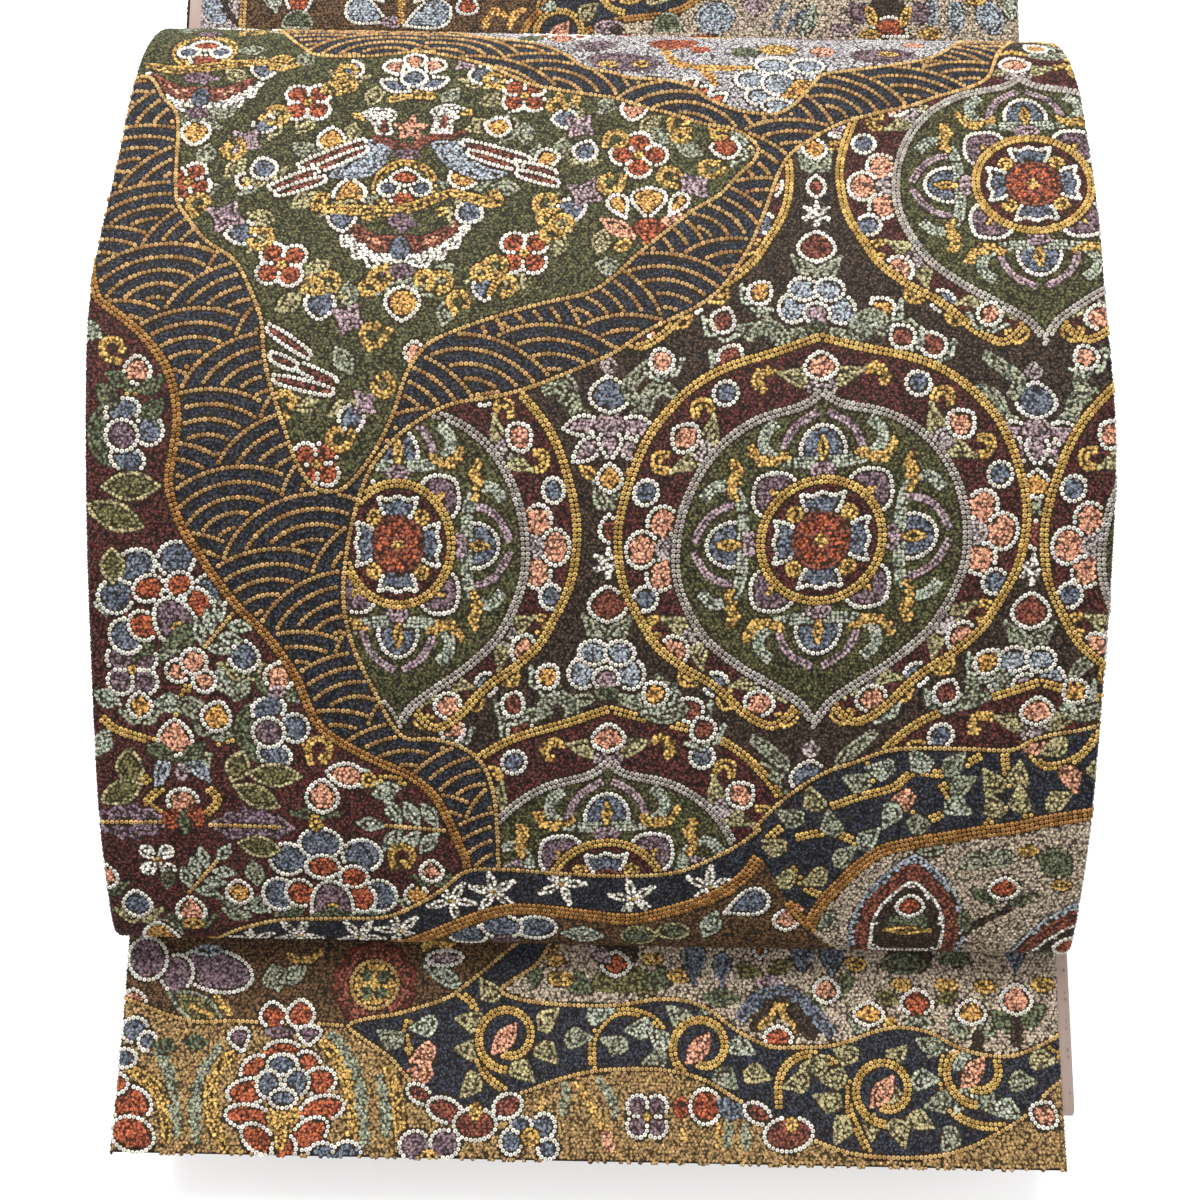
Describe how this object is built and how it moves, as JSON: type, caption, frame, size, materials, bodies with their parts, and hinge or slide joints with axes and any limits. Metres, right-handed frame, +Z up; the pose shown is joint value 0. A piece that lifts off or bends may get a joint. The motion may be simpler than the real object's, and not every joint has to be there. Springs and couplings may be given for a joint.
{
  "type": "fukuro obi sash folded into its drum bow, laid flat on its folded length",
  "caption": "Wide embroidered sash folded into a hollow drum bow with an end flap, lying on the rest of its folded length.",
  "frame": {"origin": "on the floor, below the middle of the box that holds the part", "axes": "+Z up from the floor, +X across the band, -Y towards the end flap that shows below the drum"},
  "size_m": [0.32, 0.44, 0.1072],
  "materials": {
    "embroidered_front": "knotted silk",
    "plain_lining": "plain silk"
  },
  "bodies": {
    "root": {"drum_front": "embroidered_front", "drum_lining": "plain_lining", "end_flap_front": "embroidered_front", "end_flap_lining": "plain_lining", "pleat_front": "embroidered_front", "pleat_lining": "plain_lining", "back_layer_front": "embroidered_front", "back_layer_lining": "plain_lining", "strip_front": "embroidered_front", "strip_lining": "plain_lining", "folded_rest_of_band": "plain_lining"}
  },
  "joints": []
}
